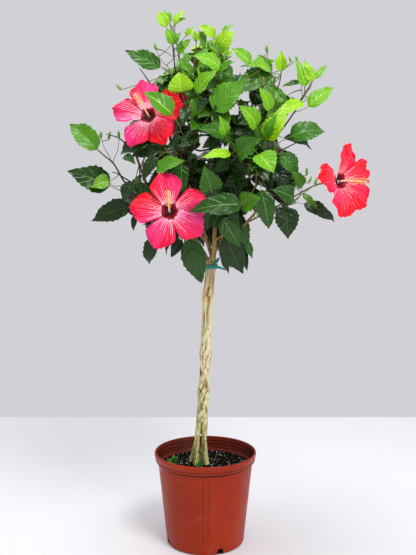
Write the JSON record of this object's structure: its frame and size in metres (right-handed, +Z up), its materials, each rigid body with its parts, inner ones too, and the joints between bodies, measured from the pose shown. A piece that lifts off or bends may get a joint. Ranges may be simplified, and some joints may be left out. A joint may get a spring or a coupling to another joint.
{
  "type": "potted braided hibiscus tree",
  "caption": "Hibiscus grown as a small standard tree: braided bare stems in a round nursery pot, a soft tie, and a loose leafy crown with large open blooms.",
  "frame": {"origin": "middle of the pot's flat underside", "axes": "+Z up the trunk, the plant's front faces -Y, +X to the right of the front"},
  "size_m": [0.6434, 0.5495, 1.2066],
  "materials": {
    "pot_plastic": "satin",
    "potting_mix": "matte",
    "bark_light": "matte",
    "bark_dark": "matte",
    "tie_plastic": "satin",
    "leaf": "satin",
    "petal": "matte"
  },
  "bodies": {
    "root": {"pot": "pot_plastic", "soil": "potting_mix", "stem_1": "bark_light", "stem_2": "bark_light", "stem_3": "bark_light", "stem_4": "bark_light", "tie": "tie_plastic", "bough_left_low": "bark_dark", "bough_left": "bark_dark", "bough_left_up": "bark_dark", "bough_front_left": "bark_dark", "bough_low_left": "bark_dark", "bough_back_low_left": "bark_dark", "bough_upper_left": "bark_dark", "bough_back_left": "bark_dark", "bough_top_left": "bark_dark", "bough_back_mid": "bark_dark", "bough_top_mid": "bark_dark", "bough_front_top": "bark_dark", "bough_front_mid": "bark_dark", "bough_front_low": "bark_dark", "bough_low_right": "bark_dark", "bough_right_low": "bark_dark", "bough_top_right": "bark_dark", "bough_right": "bark_dark", "bough_far_right": "bark_dark", "bough_back_right": "bark_dark", "bough_back_low_right": "bark_dark", "bough_back_top": "bark_dark", "bloom_front": "petal", "bloom_upper_left": "petal", "bloom_right": "petal", "bloom_back": "petal", "leaves_left_low": "leaf", "leaves_left": "leaf", "leaves_left_up": "leaf", "leaves_front_left": "leaf", "leaves_low_left": "leaf", "leaves_front_low": "leaf", "leaves_back_low_left": "leaf", "leaves_upper_left": "leaf", "leaves_back_left": "leaf", "leaves_top_left": "leaf", "leaves_back_mid": "leaf", "leaves_top_mid": "leaf", "leaves_front_top": "leaf", "leaves_front_mid": "leaf", "leaves_low_right": "leaf", "leaves_right_low": "leaf", "leaves_top_right": "leaf", "leaves_right": "leaf", "leaves_far_right": "leaf", "leaves_back_right": "leaf", "leaves_back_low_right": "leaf", "leaves_back_top": "leaf"}
  },
  "joints": []
}
